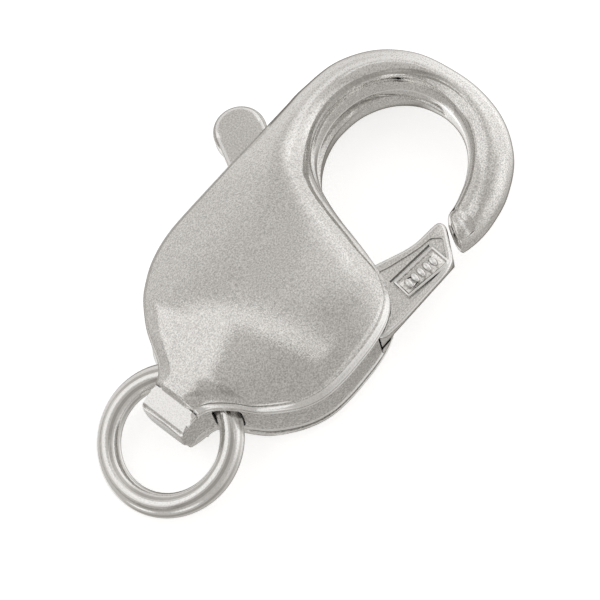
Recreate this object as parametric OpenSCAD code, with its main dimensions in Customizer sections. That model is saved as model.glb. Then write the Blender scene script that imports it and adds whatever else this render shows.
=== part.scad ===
// Lobster clasp with its jump ring: a hollow pear-shaped body that curls into a hook,
// a gate lever with a thumb knob that turns on a hidden pin, and a round wire ring in the bail.
// The clasp lies on its flat back. +Z is up, +X points along the clasp to the hook's nose,
// and the gate is on the -Y side. The origin is under the centre of the round belly, on the back.

/* [Body] */
// Distance from the centre of the belly to the end of the tail
tail_len = 6.8; // [6.5:0.1:7.4]
// Width of the round belly
belly_w = 10.2; // [9.6:0.1:11.4]
// Height of the body's edge, between its back rim and its front rim
edge_h = 2.7; // [2.6:0.05:3.2]
// Rise of the domed front above its rim
front_rise = 1.1; // [0.7:0.05:1.5]
// Rise of the back outside its rim, before the flat it lies on
back_rise = 0.9; // [0.8:0.05:1.2]
// Height of the back rim above the flat that the clasp lies on
rest_drop = 0.45; // [0.4:0.05:0.7]
// Thickness of the walls round the hollow belly
wall = 0.6; // [0.45:0.05:0.8]
// Width of the small bevel along the front and back rims
rim_bevel = 0.1; // [0.05:0.01:0.14]
// Bulge of the spine-side wall past its rims
spine_bulge = 0.12; // [0.04:0.01:0.2]
// Bulge of the gate-side wall past its rims
gate_bulge = 0.04; // [0.02:0.01:0.1]
// Flare of the back past the front beside the bail
back_flare = 0.45; // [0.2:0.05:0.5]
// Height of the seam groove along the belly's gate-side wall
seam_h = 0.14; // [0.08:0.01:0.2]
// Depth of the seam groove
seam_depth = 0.12; // [0.06:0.01:0.2]

/* [Hook] */
// Diameter of the eye inside the hook
eye_d = 6.84; // [6.2:0.02:7.4]
// Distance from the centre of the belly to the centre of the hook's eye, along the clasp
eye_x = 8.29; // [8:0.01:9.2]
// Distance of the eye's centre from the clasp's long axis, towards the gate
eye_drop = 0.5; // [0.3:0.05:0.8]
// Width of the hook's band
band_w = 2; // [1.8:0.05:2.3]
// Height of the groove along the inside of the hook
groove_h = 0.8; // [0.5:0.05:1]
// Depth of the groove along the inside of the hook
groove_depth = 0.5; // [0.3:0.05:0.6]
// Height of the groove's middle above the body's middle
groove_rise = 0.15; // [0:0.05:0.2]
// Width of the sunk rim round the front of the eye, from the eye's edge outwards
sunk_w = 0.2; // [0.1:0.02:0.25]
// Drop of the sunk rim's outer edge below the front of the hook
sunk_drop = 0.5; // [0.4:0.02:0.6]
// Slope of the sunk rim down towards the eye
sunk_slope = 38; // [20:1:45]

/* [Bail] */
// Width of the strap that closes the bail
tail_w = 2.3; // [2:0.05:2.6]
// Sideways place of the strap's middle
tail_y = -0.1; // [-0.2:0.05:0]
// Length of the closed end of the strap, which stands inside the ring
bar_len = 1.84; // [1.7:0.02:1.9]
// Length of the bail's hole along the clasp
bail_len = 1.2; // [1.2:0.02:1.4]
// Height of the bail's hole
bail_h = 1.5; // [1.45:0.05:1.6]
// Height of the bail's hole's middle above the body's middle
bail_rise = 0.1; // [0.05:0.05:0.15]
// Width of the slanted corners of the bail's hole
bail_slant = 0.3; // [0.2:0.05:0.35]
// Slope of the folded end of the strap
fold_angle = 32; // [20:1:40]

/* [Gate lever] */
// Thickness of the lever
lever_t = 1.3; // [1.1:0.05:1.5]
// Clearance above, below and round the lever
lever_gap = 0.1; // [0.08:0.01:0.15]
// Distance of the pivot from the belly's centre, towards the hook
pivot_x = 1.3; // [1:0.05:1.6]
// Distance of the pivot from the belly's centre, towards the gate
pivot_y = 1.5; // [1.2:0.05:1.8]
// Radius of the lever's hub
hub_r = 1.7; // [1.5:0.05:1.9]
// Width of the gate at its tip end
gate_w = 1.7; // [1.6:0.05:1.8]
// Distance between the gate's tip and the end of the hook
gate_gap = 0.4; // [0.3:0.01:0.5]
// Distance of the gate's tip below the inner corner of the hook's end
tip_drop = 0.3; // [0.2:0.01:0.4]
// Angle through which the gate opens
gate_swing = 22; // [15:1:24]
// Width of the bevel along the gate's edges
gate_bevel = 0.15; // [0.1:0.01:0.18]
// Slope of the gate's lower side, which leans in under its top edge
gate_lean = 18; // [8:1:20]
// Depth of the gate's sunk field inside its border
field_drop = 0.08; // [0.04:0.01:0.12]
// Length of the raised panel on the gate
panel_len = 2.3; // [2.1:0.05:2.4]
// Width of the raised panel on the gate
panel_w = 1.05; // [0.85:0.05:1.1]
// Rise of the panel's rim above the sunk field
panel_rise = 0.16; // [0.12:0.01:0.2]
// Width of the panel's rim
panel_rim = 0.12; // [0.08:0.01:0.15]
// Diameter of the thumb knob
knob_d = 2.36; // [2.1:0.02:2.5]
// Distance of the knob's centre outside the body's straight edge
knob_out = 1; // [0.9:0.05:1.3]
// Distance of the knob's centre from the belly's centre, towards the hook
knob_x = 5.4; // [5:0.05:5.6]
// Radius of the knob's rounded edge
knob_round = 0.35; // [0.2:0.01:0.45]

/* [Pivot pin] */
// Diameter of the hidden pivot pin
pin_d = 1; // [0.8:0.05:1.2]
// Running clearance of the lever round the pin, on the radius
pin_fit = 0.05; // [0.03:0.01:0.08]
// Depth of the pin's blind seats in the body's bosses
pin_seat = 0.5; // [0.3:0.05:0.6]

/* [Jump ring] */
// Diameter of the ring's wire
wire_d = 1.05; // [0.9:0.01:1.1]
// Outside diameter of the ring
ring_od = 6.5; // [6.4:0.01:7]
// Sideways place of the ring in the bail
ring_y = -0.45; // [-0.5:0.01:-0.2]
// Clearance of the wire from the inner end of the bail's hole
ring_gap = 0.06; // [0.04:0.01:0.1]
// Clearance of the ring's outside from the outer corners of the bail's hole
bail_side = 0.08; // [0.05:0.01:0.2]
// Clearance of the wire below the top of the bail's hole
ring_lift = 0.18; // [0.12:0.01:0.25]

/* [Smoothness] */
// Number of sections between two rows of the body's tables
section_steps = 3; // [2:1:4]
// Number of steps across the domed front
front_steps = 14; // [8:2:20]

/* [Hidden] */
$fn = 64;
cut = 0.01;
belly_r = belly_w / 2;
eye_r = eye_d / 2;
mid_z = rest_drop + edge_h / 2;
pin_r = pin_d / 2;
wire_r = wire_d / 2;
ring_r = ring_od / 2 - wire_r;
pivot = [pivot_x, -pivot_y];

// The strap and the bail. Columns: distance from the belly's centre as a share of tail_len,
// half width as a share of half tail_w, height of the front rim and of the back rim over the
// middle as shares of half edge_h, crown as a share of the full rise, and share of back_flare.
TAIL_ROWS = [
    [-1.00, 1.00, 0.90, 0.45, 0.12, 0.00],
    [-0.97, 1.00, 0.90, 0.80, 0.12, 0.05],
    [-0.89, 0.99, 0.91, 1.00, 0.16, 0.20],
    [-0.84, 1.02, 0.93, 0.94, 0.22, 0.35],
    [-0.785, 1.18, 0.95, 0.80, 0.32, 0.50],
    [-0.73, 1.52, 0.98, 0.84, 0.44, 0.80]
];

// The belly. Columns: X and Y of the spine-side rim, X and Y of the gate-side rim, all as shares
// of belly_r, crown as a share of the full rise, and share of back_flare.
BELLY_ROWS = [
    [-0.882, 0.480, -0.882, -0.500, 0.55, 1.00],
    [-0.798, 0.602, -0.798, -0.655, 0.66, 0.60],
    [-0.643, 0.766, -0.643, -0.825, 0.80, 0.22],
    [-0.500, 0.862, -0.500, -0.925, 0.88, 0.06],
    [-0.350, 0.933, -0.350, -0.982, 0.94, 0.00],
    [-0.176, 0.980, -0.176, -1.004, 0.98, 0.00],
    [0.000, 1.000, 0.000, -1.006, 1.00, 0.00],
    [0.196, 1.000, 0.206, -0.996, 1.00, 0.00],
    [0.353, 0.997, 0.400, -0.957, 1.00, 0.00],
    [0.490, 0.994, 0.560, -0.870, 1.00, 0.00],
    [0.608, 0.991, 0.676, -0.716, 0.99, 0.00]
];

// The turn from the belly to the eye. Columns: X of the spine-side rim as a share of the eye's X,
// its Y as a share of belly_r, X of the gate-side rim as a share of the way from the belly to the
// eye, its Y as a share of belly_r, and crown as a share of the full rise.
TURN_ROWS = [
    [0.434, 0.989, 0.282, -0.510, 0.97],
    [0.483, 0.986, 0.495, -0.314, 0.94],
    [0.525, 0.984, 0.684, -0.127, 0.90]
];

// The neck. Columns: X of the spine-side rim as a share of the eye's X, its Y as a share of
// belly_r, angle and distance of the eye-side rim from the eye's centre, the distance as a
// share of eye_r, crown as a share of the full rise, and roundness of the section.
NECK_ROWS = [
    [0.563, 0.982, 167.3, 1.061, 0.85, 0.00],
    [0.605, 0.980, 150.5, 1.038, 0.79, 0.04],
    [0.672, 0.977, 135.5, 1.030, 0.72, 0.12],
    [0.762, 0.974, 121.0, 1.018, 0.66, 0.24],
    [0.873, 0.970, 106.0, 1.008, 0.61, 0.36]
];

// The hook. Columns: angle of the section at its outside and at its inside, inner radius as a
// share of eye_r, width as a share of band_w, height of the rims over the middle as a share of
// half edge_h, crown as a share of the full rise, and roundness of the section.
HOOK_ROWS = [
    [90, 90, 1.000, 1.000, 1.00, 0.56, 0.48],
    [70, 70, 0.998, 1.005, 0.98, 0.52, 0.60],
    [50, 50, 0.988, 0.960, 0.95, 0.48, 0.75],
    [30, 30, 0.962, 0.880, 0.90, 0.45, 0.90],
    [10, 10, 0.915, 0.810, 0.84, 0.43, 1.00],
    [-10, -10, 0.874, 0.860, 0.77, 0.41, 1.00],
    [-30, -30, 0.846, 0.940, 0.69, 0.39, 1.00],
    [-50, -50, 0.834, 0.975, 0.61, 0.36, 1.00],
    [-70, -70, 0.846, 0.935, 0.53, 0.33, 1.00],
    [-86, -86, 0.876, 0.890, 0.47, 0.30, 1.00],
    [-98, -95, 0.910, 0.860, 0.43, 0.27, 1.00],
    [-109, -103, 0.940, 0.830, 0.41, 0.25, 1.00]
];

eye = [eye_x, -eye_drop];

function polar(a, r) = eye + r * [cos(a), sin(a)];

// A section is [outer X, outer Y, inner X, inner Y, front edge, back edge, crown, roundness, flare]
half_edge = edge_h / 2;
tail_sections = [for (r = TAIL_ROWS) [
    r[0] * tail_len, tail_y + r[1] * tail_w / 2,
    r[0] * tail_len, tail_y - r[1] * tail_w / 2,
    r[2] * half_edge, r[3] * half_edge, r[4], 0, r[5] * back_flare
]];
belly_sections = [for (r = BELLY_ROWS) [
    r[0] * belly_r, r[1] * belly_r, r[2] * belly_r, r[3] * belly_r,
    half_edge, half_edge, r[4], 0, r[5] * back_flare
]];
belly_end = BELLY_ROWS[len(BELLY_ROWS) - 1][2] * belly_r;
turn_sections = [for (r = TURN_ROWS) [
    r[0] * eye[0], r[1] * belly_r,
    belly_end + r[2] * (eye[0] - eye_r - belly_end), r[3] * belly_r,
    half_edge, half_edge, r[4], 0, 0
]];
neck_sections = [for (r = NECK_ROWS) let (p = polar(r[2], r[3] * eye_r)) [
    r[0] * eye[0], r[1] * belly_r, p[0], p[1], half_edge, half_edge, r[4], r[5], 0
]];
hook_sections = [for (r = HOOK_ROWS)
    let (p = polar(r[1], r[2] * eye_r), q = polar(r[0], r[2] * eye_r + r[3] * band_w)) [
    q[0], q[1], p[0], p[1], r[4] * half_edge, r[4] * half_edge, r[5], r[6], 0
]];
rows = concat(tail_sections, belly_sections, turn_sections, neck_sections, hook_sections);
last_row = len(rows) - 1;

// Smooth curve through the rows
function spline(a, b, c, d, t) =
    0.5 * (2 * b + (c - a) * t + (2 * a - 5 * b + 4 * c - d) * t * t + (3 * b - a - 3 * c + d) * t * t * t);
function section_at(i, t) = spline(rows[max(i - 1, 0)], rows[i], rows[i + 1], rows[min(i + 2, last_row)], t);
sections = concat(
    [for (i = [0:last_row - 1]) for (k = [0:section_steps - 1]) section_at(i, k / section_steps)],
    [rows[last_row]]
);

// Rise of a crowned face at a place t across it, from -1 to 1
function crown(t) = pow(1 - pow(abs(t), 2.3), 0.9);

// A shell section has a crowned front and back and bulging walls that meet them at rims. A round
// section is a full oval. Each point is set between the two by the section's roundness.
oval_turn = 52;
oval_power = 0.9;
function oval(s, a) =
    let (
        width = norm([s[2] - s[0], s[3] - s[1]]),
        up = cos(a),
        side = sin(a),
        front = s[4] + rim_bevel * 0.4 + front_rise * s[6],
        back = min(mid_z, s[5] + rim_bevel * 0.4 + back_rise * s[6])
    )
    [width / 2 * (1 + sign(side) * pow(abs(side), oval_power)),
     (up > 0 ? front : back) * sign(up) * pow(abs(up), oval_power)];
function mixed(s, shell, a) =
    let (
        across = [s[2] - s[0], s[3] - s[1]] / norm([s[2] - s[0], s[3] - s[1]]),
        p = shell * (1 - s[7]) + oval(s, a) * s[7]
    )
    [s[0] + across[0] * p[0], s[1] + across[1] * p[0], max(0, mid_z + p[1])];

// One ring of points round a section: front from the spine side to the gate side, then the
// gate-side wall, the back, and the spine-side wall
wall_steps = 6;
back_steps = 8;
function ring_points(s) =
    let (
        width = norm([s[2] - s[0], s[3] - s[1]]),
        span = width - spine_bulge - gate_bulge,
        crest = span - 2 * rim_bevel
    )
    concat(
        [for (k = [0:front_steps]) let (t = -1 + 2 * k / front_steps)
            mixed(s, [spine_bulge + span / 2 + crest / 2 * t,
                s[4] + rim_bevel * 0.4 + front_rise * s[6] * crown(t)], oval_turn * t)],
        [for (k = [0:wall_steps]) let (a = 90 - 180 * k / wall_steps)
            mixed(s, [spine_bulge + span + gate_bulge * cos(a) + s[8] * max(0, -sin(a)),
                ((sin(a) > 0 ? s[4] : s[5]) - rim_bevel) * sin(a)], 90 - a * (90 - oval_turn) / 90)],
        [for (k = [0:back_steps]) let (t = 1 - 2 * k / back_steps)
            mixed(s, [spine_bulge + span / 2 + (crest / 2 + s[8]) * t,
                -s[5] - rim_bevel * 0.4 - back_rise * s[6] * crown(t)], 180 - oval_turn * t)],
        [for (k = [0:wall_steps]) let (a = -90 + 180 * k / wall_steps)
            mixed(s, [spine_bulge - spine_bulge * cos(a) - s[8] * max(0, -sin(a)),
                ((sin(a) > 0 ? s[4] : s[5]) - rim_bevel) * sin(a)], 270 + a * (90 - oval_turn) / 90)]
    );
ring_size = front_steps + back_steps + 2 * wall_steps + 4;

// Closed skin through all the sections
module skin() {
    count = len(sections);
    points = [for (s = sections) each ring_points(s)];
    sides = [for (i = [0:count - 2]) for (j = [0:ring_size - 1])
        let (
            a = i * ring_size + j,
            b = i * ring_size + (j + 1) % ring_size,
            c = b + ring_size,
            d = a + ring_size
        )
        each [[a, c, b], [a, d, c]]];
    first_cap = [[for (j = [0:ring_size - 1]) j]];
    last_cap = [[for (j = [ring_size - 1:-1:0]) (count - 1) * ring_size + j]];
    polyhedron(points = points, faces = concat(sides, first_cap, last_cap), convexity = 10);
}

// Hollow belly: a flat chamber that follows the outline one wall inside it
lever_z = mid_z - lever_t / 2;
pocket_h = lever_t + 2 * lever_gap;
bail_x = bar_len - tail_len;
chamber_start = bail_x + bail_len + wall;
chamber_end = polar(160, eye_r)[0];
function inset_point(s, from, to) =
    let (a = [s[from], s[from + 1]], b = [s[to], s[to + 1]]) a + (b - a) / norm(b - a) * wall;
module chamber() {
    kept = [for (s = sections) if (s[0] > chamber_start && s[0] < chamber_end && s[3] < s[1]) s];
    outline = concat(
        [for (s = kept) inset_point(s, 0, 2)],
        [for (k = [len(kept) - 1:-1:0]) inset_point(kept[k], 2, 0)]
    );
    translate([0, 0, mid_z - pocket_h / 2])
        linear_extrude(pocket_h) polygon(outline);
}

// Lens-shaped hollows under the domed front and over the back
lens_r = min(-chamber_start, belly_r - 1.6 * wall);
lens_steps = 8;
module lens(height) {
    rotate_extrude() polygon(concat(
        [[0, 0]],
        [for (k = [lens_steps:-1:0]) let (u = k / lens_steps) [lens_r * u, cut + height * (1 - u * u)]]
    ));
}
lens_front = front_rise + half_edge - pocket_h / 2 - 1.1 * wall;
lens_back = mid_z - pocket_h / 2 - 1.1 * wall;
boss_r = pin_r + wall;
module hollow() {
    difference() {
        union() {
            chamber();
            translate([0, 0, mid_z + pocket_h / 2 - cut]) lens(lens_front);
            mirror([0, 0, 1]) translate([0, 0, -(mid_z - pocket_h / 2 + cut)]) lens(lens_back);
        }
        translate([pivot[0], pivot[1], mid_z + pocket_h / 2]) cylinder(r = boss_r, h = lens_front + wall);
        translate([pivot[0], pivot[1], 0]) cylinder(r = boss_r, h = mid_z - pocket_h / 2);
    }
}

// Gate outline. Columns: share of the way from the gate's tip to the pivot, and distance to the
// outer side of that line as a share of gate_w.
GATE_ROWS = [
    [0.000, 0.02],
    [0.035, -0.02],
    [0.220, 0.17],
    [0.309, 0.19],
    [0.479, 0.15],
    [0.656, 0.10],
    [0.827, -0.04],
    [0.870, 1.52],
    [0.755, 1.97],
    [0.576, 1.81],
    [0.157, 1.29],
    [0.090, 1.13],
    [0.061, 0.97],
    [-0.017, 0.19]
];
hook_end_in = [sections[len(sections) - 1][2], sections[len(sections) - 1][3]];
hook_end_out = [sections[len(sections) - 1][0], sections[len(sections) - 1][1]];
end_way = (hook_end_out - hook_end_in) / norm(hook_end_out - hook_end_in);
end_normal = [end_way[1], -end_way[0]];
gate_tip = hook_end_in + end_way * tip_drop + end_normal * gate_gap;
gate_way = pivot - gate_tip;
gate_side = [-gate_way[1], gate_way[0]] / norm(gate_way);
function gate_point(r) = gate_tip + gate_way * r[0] + gate_side * r[1] * gate_w;
gate_outline = [for (r = GATE_ROWS) gate_point(r)];

// Thumb arm: a straight bar from the hub to the knob
knob = [knob_x, belly_r + knob_out];
arm_way = (knob - pivot) / norm(knob - pivot);
arm_side = [arm_way[1], -arm_way[0]];
module thumb_arm_shape(grow) {
    half = knob_d / 2 * 0.9 + grow;
    polygon([
        pivot + arm_side * half,
        knob + arm_side * half,
        knob - arm_side * half,
        pivot - arm_side * half
    ]);
}

module turned(angle) {
    translate(pivot) rotate(angle) translate(-pivot) children();
}

// Slots through which the gate and the thumb arm leave the body, swept over the whole swing
slot_steps = 8;
module lever_slots() {
    translate([0, 0, mid_z - pocket_h / 2]) linear_extrude(pocket_h) {
        for (k = [0:slot_steps]) turned(gate_swing * k / slot_steps) {
            thumb_arm_shape(lever_gap);
            for (dx = [-lever_gap, lever_gap], dy = [-lever_gap, lever_gap])
                translate([dx, dy]) polygon(gate_outline);
        }
    }
}

// Groove along the inside of the hook: a disc off the eye's centre, so that it runs out
// towards the nose
module hook_groove() {
    shift = [-0.8, 0.64] * groove_depth;
    intersection() {
        translate([eye[0] + shift[0], eye[1] + shift[1], mid_z + groove_rise - groove_h / 2])
            cylinder(r = eye_r + 0.4 * groove_depth, h = groove_h, $fn = 96);
        translate([eye[0] - 2 * eye_r, eye[1], 0]) cube([4 * eye_r, 2 * eye_r, 2 * mid_z]);
    }
}

// Sunk rim round the front of the eye: a shallow cone, open upwards, that runs out where the
// hook's front falls below it
hook_top = mid_z + HOOK_ROWS[0][4] * half_edge + HOOK_ROWS[0][5] * front_rise;
module sunk_rim() {
    r = eye_r + sunk_w;
    z = hook_top - sunk_drop;
    translate([eye[0], eye[1], 0]) rotate_extrude($fn = 96)
        polygon([[0, z - r * tan(sunk_slope)], [r, z], [r, hook_top + front_rise], [0, hook_top + front_rise]]);
}

// Bail: a hole across the neck whose inner end follows the ring, and the fold at the strap's end
fold_x = -tail_len + 0.55 * bar_len;
fold_z = mid_z + 0.93 * half_edge;
bail_end = bail_x + bail_len;
bail_r = ring_od / 2 + bail_side;
bar_r = ring_r - wire_r - ring_gap;
module bail_cuts() {
    translate([0, 0, mid_z + bail_rise - bail_h / 2]) difference() {
        intersection() {
            translate([bail_end - 2 * bar_len, -belly_r, 0]) cube([2 * bar_len, belly_w, bail_h]);
            translate([bail_end - bail_r, ring_y, 0]) rotate_extrude($fn = 96) polygon([
                [0, 0],
                [bail_r - bail_slant, 0],
                [bail_r, bail_slant],
                [bail_r, bail_h - bail_slant],
                [bail_r - bail_slant, bail_h],
                [0, bail_h]
            ]);
        }
        translate([bail_x - bar_r, ring_y, 0]) rotate_extrude($fn = 96) polygon([
            [0, -cut],
            [bar_r + bail_slant + cut, -cut],
            [bar_r, bail_slant],
            [bar_r, bail_h - bail_slant],
            [bar_r + bail_slant + cut, bail_h + cut],
            [0, bail_h + cut]
        ]);
    }
    translate([fold_x, tail_y - tail_w, fold_z]) rotate([0, -fold_angle, 0])
        translate([-3 * bar_len, 0, 0]) cube([3 * bar_len, 2 * tail_w, front_rise * 2]);
}

// Seam groove above the back rim, along the gate-side wall of the belly
seam_z = mid_z - 0.72 * half_edge;
module seam_groove() {
    kept = [for (r = belly_sections) if (r[2] > -0.7 * belly_r && r[2] < 0.45 * belly_r) [r[2], r[3]]];
    translate([0, 0, seam_z]) linear_extrude(seam_h) polygon(concat(
        [for (p = kept) p * (1 - seam_depth / belly_r)],
        [for (k = [len(kept) - 1:-1:0]) kept[k] * 1.1]
    ));
}

module pin_seats() {
    translate([pivot[0], pivot[1], mid_z - pocket_h / 2 - pin_seat])
        cylinder(r = pin_r, h = pocket_h + 2 * pin_seat);
}

module body() {
    color([0.78, 0.77, 0.75])
    difference() {
        skin();
        hollow();
        lever_slots();
        hook_groove();
        sunk_rim();
        bail_cuts();
        seam_groove();
        pin_seats();
    }
}

// Raised panel on the gate: a rim round a field with plain pips. Columns: shares of panel_len
// and of panel_w from the panel's middle.
PANEL_ROWS = [
    [-0.50, 0.42],
    [-0.50, -0.42],
    [0.30, -0.50],
    [0.48, -0.25],
    [0.48, 0.50]
];
pip_count = 5;
pip_r = panel_w / 8;
panel_at = gate_point([0.302, 0.93]);
panel_angle = -8;
module panel_shape(rim) {
    polygon([for (r = PANEL_ROWS) [r[0] * (panel_len - 2 * rim), r[1] * (panel_w - 2 * rim)]]);
}
module gate_panel() {
    pip_step = (panel_len - 5 * panel_rim) / pip_count;
    translate([panel_at[0], panel_at[1], lever_z + lever_t - field_drop]) rotate(panel_angle) {
        difference() {
            translate([0, 0, -cut]) linear_extrude(panel_rise + cut) panel_shape(0);
            linear_extrude(panel_rise * 2) panel_shape(panel_rim);
        }
        for (k = [0:pip_count - 1])
            translate([(k - (pip_count - 1) / 2) * pip_step, 0, -cut])
                cylinder(r = pip_r, h = panel_rise / 2 + cut, $fn = 24);
    }
}

round_steps = 6;
module knob_disc() {
    half = lever_t / 2;
    corner = [knob_d / 2 - knob_round, half - knob_round];
    edge = concat(
        [for (k = [0:round_steps]) let (a = -90 + 90 * k / round_steps)
            [corner[0] + knob_round * cos(a), -corner[1] + knob_round * sin(a)]],
        [for (k = [0:round_steps]) let (a = 90 * k / round_steps)
            [corner[0] + knob_round * cos(a), corner[1] + knob_round * sin(a)]]
    );
    translate([knob[0], knob[1], mid_z]) rotate_extrude()
        polygon(concat([[0, -half]], edge, [[0, half]]));
}

// Bevels along the gate's top edges, from its tip end round to the wall of the body. They run
// past the corners that point outwards, so that they meet there.
bevel_side = gate_bevel * sqrt(2);
module edge_bevel(from, to, past_from, past_to) {
    a = gate_outline[from];
    b = gate_outline[to];
    translate([a[0], a[1], lever_z + lever_t]) rotate([0, 0, atan2(b[1] - a[1], b[0] - a[0])])
        rotate([45, 0, 0]) translate([-past_from, -bevel_side / 2, -bevel_side / 2])
            cube([norm(b - a) + past_from + past_to, bevel_side, bevel_side]);
}

// Lean of the gate's lower side, cut away under a narrow land below the bevel
lean_from = gate_point(GATE_ROWS[9]);
lean_to = gate_point(GATE_ROWS[10]);
module gate_undercut() {
    way = lean_to - lean_from;
    translate([lean_from[0], lean_from[1], lever_z + lever_t - 1.5 * gate_bevel])
        rotate([0, 0, atan2(way[1], way[0])]) rotate([gate_lean, 0, 0])
            translate([-gate_w, -gate_w, -2 * lever_t]) cube([norm(way) + 2 * gate_w, gate_w, 2 * lever_t]);
}

// Sunk field of the gate, inside its border. Columns as in GATE_ROWS.
FIELD_ROWS = [
    [0.640, 0.33],
    [0.473, 0.38],
    [0.309, 0.36],
    [0.220, 0.34],
    [0.120, 0.27],
    [0.050, 0.42],
    [0.112, 1.00],
    [0.190, 1.18],
    [0.411, 1.44],
    [0.640, 1.70]
];
module gate_field() {
    translate([0, 0, lever_z + lever_t - field_drop])
        linear_extrude(2 * field_drop) polygon([for (r = FIELD_ROWS) gate_point(r)]);
}

module gate_plate() {
    count = len(gate_outline);
    difference() {
        translate([0, 0, lever_z]) linear_extrude(lever_t) polygon(gate_outline);
        for (k = [8:14]) edge_bevel(k % count, (k + 1) % count, gate_bevel, gate_bevel);
        edge_bevel(1, 2, gate_bevel, 0);
        for (k = [2:4]) edge_bevel(k, k + 1, 0, 0);
        gate_undercut();
        gate_field();
    }
}

module gate_lever() {
    color([0.74, 0.73, 0.71])
    difference() {
        union() {
            gate_plate();
            translate([0, 0, lever_z]) linear_extrude(lever_t) thumb_arm_shape(0);
            translate([pivot[0], pivot[1], lever_z]) cylinder(r = hub_r, h = lever_t);
            knob_disc();
            gate_panel();
        }
        translate([pivot[0], pivot[1], 0]) cylinder(r = pin_r + pin_fit, h = 2 * mid_z);
    }
}

module pivot_pin() {
    color([0.6, 0.6, 0.6])
    translate([pivot[0], pivot[1], mid_z - pocket_h / 2 - pin_seat])
        cylinder(r = pin_r, h = pocket_h + 2 * pin_seat);
}

// The wire hangs under the top of the bail's hole, and the ring's far side lies on the floor
hang = [bail_end - wire_r - ring_gap, ring_y, mid_z + bail_rise + bail_h / 2 - wire_r - ring_lift];
ring_pitch = asin((hang[2] - wire_r) / (2 * ring_r));
module jump_ring() {
    color([0.8, 0.79, 0.77])
    translate(hang) rotate([0, -ring_pitch, 0]) translate([-ring_r, 0, 0])
        rotate_extrude() translate([ring_r, 0]) circle(r = wire_r, $fn = 48);
}

body();
gate_lever();
pivot_pin();
jump_ring();
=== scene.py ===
import bmesh
import bpy
import math
from typing import NamedTuple
from mathutils import Matrix, Vector


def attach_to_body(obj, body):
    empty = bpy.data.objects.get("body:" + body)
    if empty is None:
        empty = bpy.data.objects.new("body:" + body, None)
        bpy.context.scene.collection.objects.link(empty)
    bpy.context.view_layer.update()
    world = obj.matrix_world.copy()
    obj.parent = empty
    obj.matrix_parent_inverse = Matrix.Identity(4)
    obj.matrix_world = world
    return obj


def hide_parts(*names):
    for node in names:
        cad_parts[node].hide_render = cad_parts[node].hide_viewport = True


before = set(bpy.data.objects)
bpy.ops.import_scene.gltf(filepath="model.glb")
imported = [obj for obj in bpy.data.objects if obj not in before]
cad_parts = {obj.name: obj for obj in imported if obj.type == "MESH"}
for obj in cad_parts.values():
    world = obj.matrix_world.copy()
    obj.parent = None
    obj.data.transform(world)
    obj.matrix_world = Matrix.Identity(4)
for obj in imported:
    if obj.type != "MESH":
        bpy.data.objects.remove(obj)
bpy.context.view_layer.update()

# ------------------------------------------------------------------ sizes
# Lengths are in millimetres and scaled by MM where they enter Blender. The origin is under the belly's
# centre, +X points to the hook, the gate is on the -Y side and +Z is up. These are the CAD source's sizes.
MM = 0.001

TAIL_LEN = 6.8  # belly's centre to the strap's end
BELLY_R = 5.1
HALF_EDGE = 1.35  # half the height of the body's edge
FRONT_RISE = 1.1  # domed front above its rim
BACK_RISE = 0.9  # back outside its rim, before the flat
REST_DROP = 0.45  # back rim above the flat
WALL = 0.6  # thickness round the hollow belly
BEVEL = 0.1  # along the rims
SPINE_BULGE = 0.12  # spine-side wall past its rims
GATE_BULGE = 0.04  # gate-side wall past its rims
BACK_FLARE = 0.45  # back past the front beside the bail
SEAM_H, SEAM_DEPTH = 0.14, 0.12
MID_Z = REST_DROP + HALF_EDGE

EYE, EYE_R = Vector((8.29, -0.5)), 3.42
BAND_W = 2.0
GROOVE_H, GROOVE_DEPTH, GROOVE_RISE = 0.8, 0.5, 0.15
SUNK_W = 0.2  # sunk rim, outwards from the eye's edge
SUNK_DROP = 0.5  # its outer edge below the hook's front
SUNK_SLOPE = math.radians(38)  # down towards the eye

TAIL_W, TAIL_Y = 2.3, -0.1  # strap's width and its middle's place
BAR_LEN = 1.84  # closed end of the strap
BAIL_LEN, BAIL_H, BAIL_RISE, BAIL_SLANT = 1.2, 1.5, 0.1, 0.3
FOLD = math.radians(32)

LEVER_T, LEVER_GAP = 1.3, 0.1
POCKET_H = LEVER_T + 2 * LEVER_GAP
PIVOT, HUB_R = Vector((1.3, -1.5)), 1.7
PIN_R, PIN_FIT = 0.5, 0.05
GATE_W = 1.7
GATE_GAP, TIP_DROP = 0.4, 0.3  # gate's tip from the hook's end
SWING, GATE_LEAN = math.radians(22), math.radians(18)
EDGE_R = 0.15  # rounding of the lever's edges
FIELD_DROP = 0.08
PANEL_LEN, PANEL_W, PANEL_RIM = 2.3, 1.05, 0.12
KNOB, KNOB_R, KNOB_ROUND = Vector((5.4, 6.1)), 1.18, 0.35

WIRE_R, RING_R, RING_Y = 0.525, 2.725, -0.45
RING_GAP, BAIL_SIDE, RING_LIFT = 0.06, 0.08, 0.18  # ring's clearances in the bail

# Strap and bail: X, half width, front rim, back rim, crown, flare, as shares
TAIL_ROWS = [
    (-1.00, 1.00, 0.90, 0.45, 0.12, 0.00), (-0.97, 1.00, 0.90, 0.80, 0.12, 0.05),
    (-0.89, 0.99, 0.91, 1.00, 0.16, 0.20), (-0.84, 1.02, 0.93, 0.94, 0.22, 0.35),
    (-0.785, 1.18, 0.95, 0.80, 0.32, 0.50), (-0.73, 1.52, 0.98, 0.84, 0.44, 0.80)]
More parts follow.
